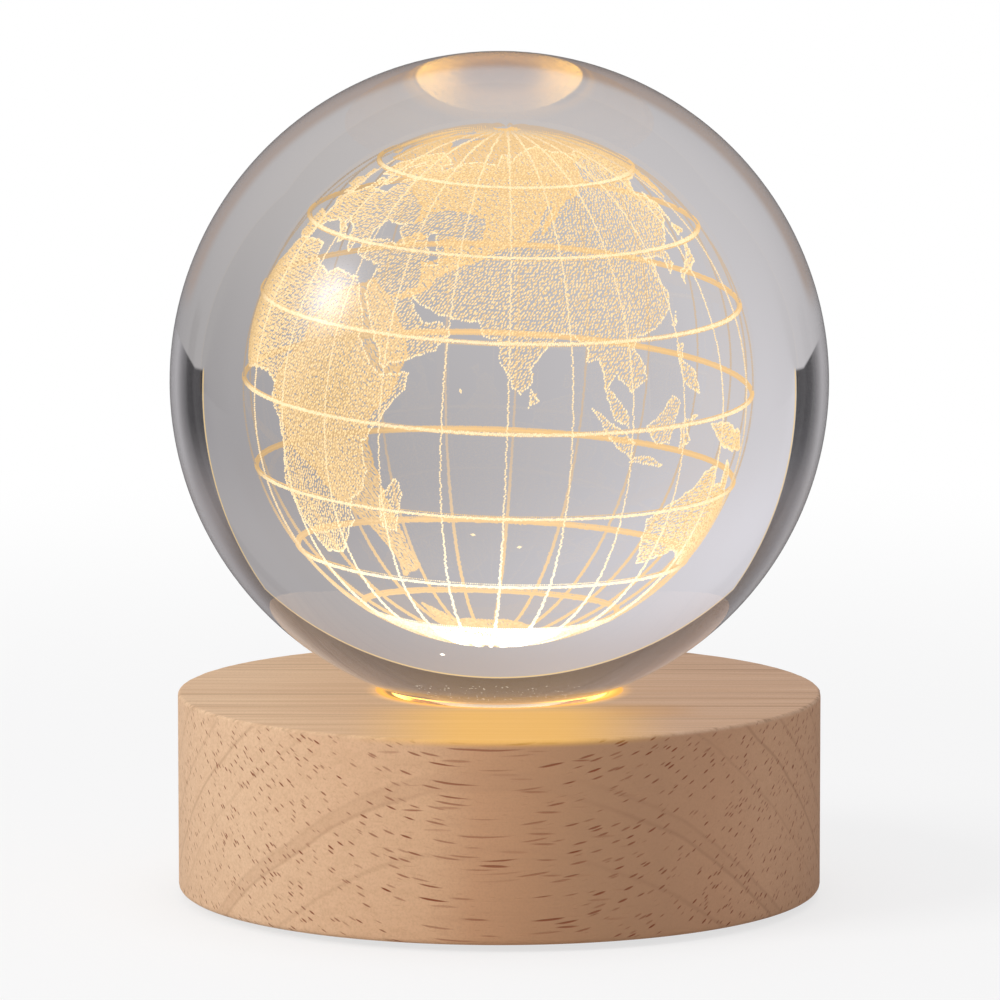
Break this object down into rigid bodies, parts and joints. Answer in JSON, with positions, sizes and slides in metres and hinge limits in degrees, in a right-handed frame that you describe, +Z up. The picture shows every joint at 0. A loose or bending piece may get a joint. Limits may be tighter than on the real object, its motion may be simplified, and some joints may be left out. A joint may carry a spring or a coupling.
{
  "type": "night light",
  "caption": "Clear solid glass ball with a world map engraved inside, resting in the rounded seat of a turned wooden base that lights it warmly from below.",
  "frame": {"origin": "on the table, under the middle of the base", "axes": "+Z up through the middle of the ball, -Y toward the front, +Y toward the power socket at the rear"},
  "size_m": [0.08, 0.08, 0.1028],
  "materials": {
    "clear_glass": "polished clear glass with fine engraving inside",
    "pale_wood": "matte clear-finished pale hardwood",
    "frosted_acrylic": "frosted, lit warm from below",
    "white_moulding": "white moulded plastic",
    "circuit_board": "white solder mask",
    "warm_diode": "warm white diode, lit",
    "resistor_black": "black glaze with tinned ends",
    "plated_steel": "nickel plated",
    "socket_steel": "drawn and plated",
    "socket_black": "black moulded plastic",
    "black_moulding": "fine matte texture",
    "cover_black": "fine matte texture",
    "foot_rubber": "soft, matte",
    "red_insulation": "wire insulation",
    "black_insulation": "wire insulation"
  },
  "bodies": {
    "base": {"wood_base": "pale_wood", "light_window": "frosted_acrylic", "lamp_holder": "white_moulding", "led_board": "circuit_board", "led_1": "warm_diode", "led_2": "warm_diode", "led_3": "warm_diode", "led_4": "warm_diode", "led_5": "warm_diode", "led_6": "warm_diode", "resistor_1": "resistor_black", "resistor_2": "resistor_black", "resistor_3": "resistor_black", "holder_screw_1": "plated_steel", "holder_screw_2": "plated_steel", "holder_screw_3": "plated_steel", "bottom_cover": "cover_black", "cover_screw_1": "plated_steel", "cover_screw_2": "plated_steel", "cover_screw_3": "plated_steel", "foot_1": "foot_rubber", "foot_2": "foot_rubber", "foot_3": "foot_rubber", "foot_4": "foot_rubber", "port_shell": "socket_steel", "port_tongue": "socket_black", "port_board": "circuit_board", "port_screw_1": "plated_steel", "port_screw_2": "plated_steel", "port_holder": "black_moulding", "lead_positive": "red_insulation", "lead_negative": "black_insulation"},
    "ball": {"glass_ball": "clear_glass"}
  },
  "joints": [
    {"name": "ball_lift", "type": "slide", "parent": "base", "child": "ball", "axis": [0, 0, 1], "range_m": [0, 0.06]}
  ]
}
